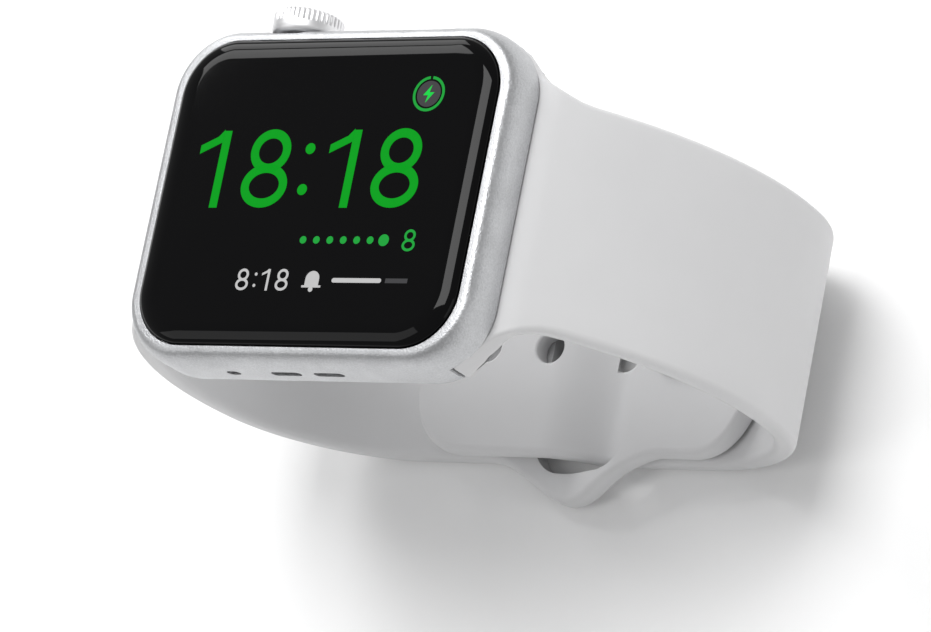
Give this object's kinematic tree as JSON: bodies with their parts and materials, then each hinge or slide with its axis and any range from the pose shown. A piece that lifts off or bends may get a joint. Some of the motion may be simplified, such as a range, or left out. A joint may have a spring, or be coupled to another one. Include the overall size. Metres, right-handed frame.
{
  "type": "smartwatch",
  "caption": "Square-cased smartwatch with a black glass face, side crown and button, and a soft two-part strap closed into a loop.",
  "frame": {"origin": "centre of the back crystal's flat outer face, where the charger or the wrist touches", "axes": "+Z out of the display, +X towards the crown, +Y towards the twelve o'clock end"},
  "size_m": [0.0383, 0.0706, 0.055],
  "materials": {
    "case_metal": "bead-blasted, clear anodised",
    "dark_glass": "polished, black behind",
    "display": "black lit display",
    "strap": "smooth matt elastomer",
    "seal": "soft black seal",
    "crystal": "polished, domed",
    "back_plastic": "smooth moulded",
    "sensor_glass": "dark polished lens",
    "copper": "enamelled copper wire",
    "ferrite": "matt dark ferrite",
    "magnet": "nickel plated",
    "steel": "bright stainless steel",
    "circuit": "coated circuit board",
    "flex": "polyimide film",
    "battery_foil": "laminated pouch foil",
    "moulding": "black moulded plastic"
  },
  "bodies": {
    "case": {"case_housing": "case_metal", "cover_glass": "dark_glass", "display_panel": "display", "force_gasket": "seal", "back_seal": "seal", "crown_seal_ring": "seal", "back_crystal": "crystal", "back_cover": "back_plastic", "sensor_window_1": "sensor_glass", "sensor_window_2": "sensor_glass", "sensor_window_3": "sensor_glass", "sensor_window_4": "sensor_glass", "charging_coil": "copper", "haptic_coil": "copper", "ferrite_shield": "ferrite", "alignment_magnet": "magnet", "sensor_board": "circuit", "main_module": "circuit", "display_flex": "flex", "battery_flex": "flex", "battery": "battery_foil", "speaker_module": "moulding", "microphone": "moulding", "crown_switch": "moulding", "side_button_switch": "moulding", "encoder_sensor": "moulding", "speaker_mesh": "steel", "crown_bush": "steel", "crown_bracket": "steel", "crown_bracket_screw_a": "steel", "crown_bracket_screw_b": "steel", "side_button_bracket": "steel", "side_button_bracket_screw_a": "steel", "side_button_bracket_screw_b": "steel", "haptic_frame": "steel", "haptic_cover": "steel", "haptic_spring_a": "steel", "haptic_spring_b": "steel"},
    "crown_plunger": {"crown_shear_plate": "steel"},
    "crown": {"crown_cap": "case_metal", "crown_end_disc": "moulding", "crown_shaft": "steel", "crown_encoder_wheel": "steel"},
    "side_button": {"side_button_cap": "case_metal"},
    "release_12": {"release_button_12": "case_metal"},
    "release_6": {"release_button_6": "case_metal"},
    "haptic": {"haptic_mass": "magnet"},
    "band": {"pin_strap": "strap", "holes_strap": "strap", "closure_stud": "steel", "stud_washer": "steel", "latch_spring_12": "steel", "latch_spring_6": "steel"},
    "latch_12": {"latch_pin_12": "steel"},
    "latch_6": {"latch_pin_6": "steel"}
  },
  "joints": [
    {"name": "crown_press", "type": "slide", "parent": "case", "child": "crown_plunger", "axis": [-1, 0, 0], "range_m": [0, 0.00035], "stiffness_N_per_m": 250, "springref_m": -0.001},
    {"name": "crown_spin", "type": "hinge", "parent": "crown_plunger", "child": "crown", "pos_m": [0.018, 0.0083, 0.0055], "axis": [1, 0, 0], "continuous": true},
    {"name": "side_button_press", "type": "slide", "parent": "case", "child": "side_button", "axis": [-1, 0, 0], "range_m": [0, 0.0003], "stiffness_N_per_m": 250, "springref_m": -0.001},
    {"name": "release_12_press", "type": "slide", "parent": "case", "child": "release_12", "axis": [0, 0, 1], "range_m": [0, 0.0004], "stiffness_N_per_m": 150, "springref_m": -0.001},
    {"name": "release_6_press", "type": "slide", "parent": "case", "child": "release_6", "axis": [0, 0, 1], "range_m": [0, 0.0004], "stiffness_N_per_m": 150, "springref_m": -0.001},
    {"name": "band_slide", "type": "slide", "parent": "case", "child": "band", "axis": [1, 0, 0], "range_m": [-0.036, 0.036]},
    {"name": "latch_12_press", "type": "slide", "parent": "band", "child": "latch_12", "axis": [0, 0, 1], "range_m": [0, 0.0004], "deforming": ["latch_spring_12"]},
    {"name": "latch_6_press", "type": "slide", "parent": "band", "child": "latch_6", "axis": [0, 0, 1], "range_m": [0, 0.0004], "deforming": ["latch_spring_6"]},
    {"name": "haptic_drive", "type": "slide", "parent": "case", "child": "haptic", "axis": [0, 1, 0], "range_m": [-0.0005, 0.0005], "stiffness_N_per_m": 300}
  ],
  "couplings": [
    {"joint": "latch_12_press", "follows": "release_12_press", "ratio": 1},
    {"joint": "latch_6_press", "follows": "release_6_press", "ratio": 1}
  ]
}
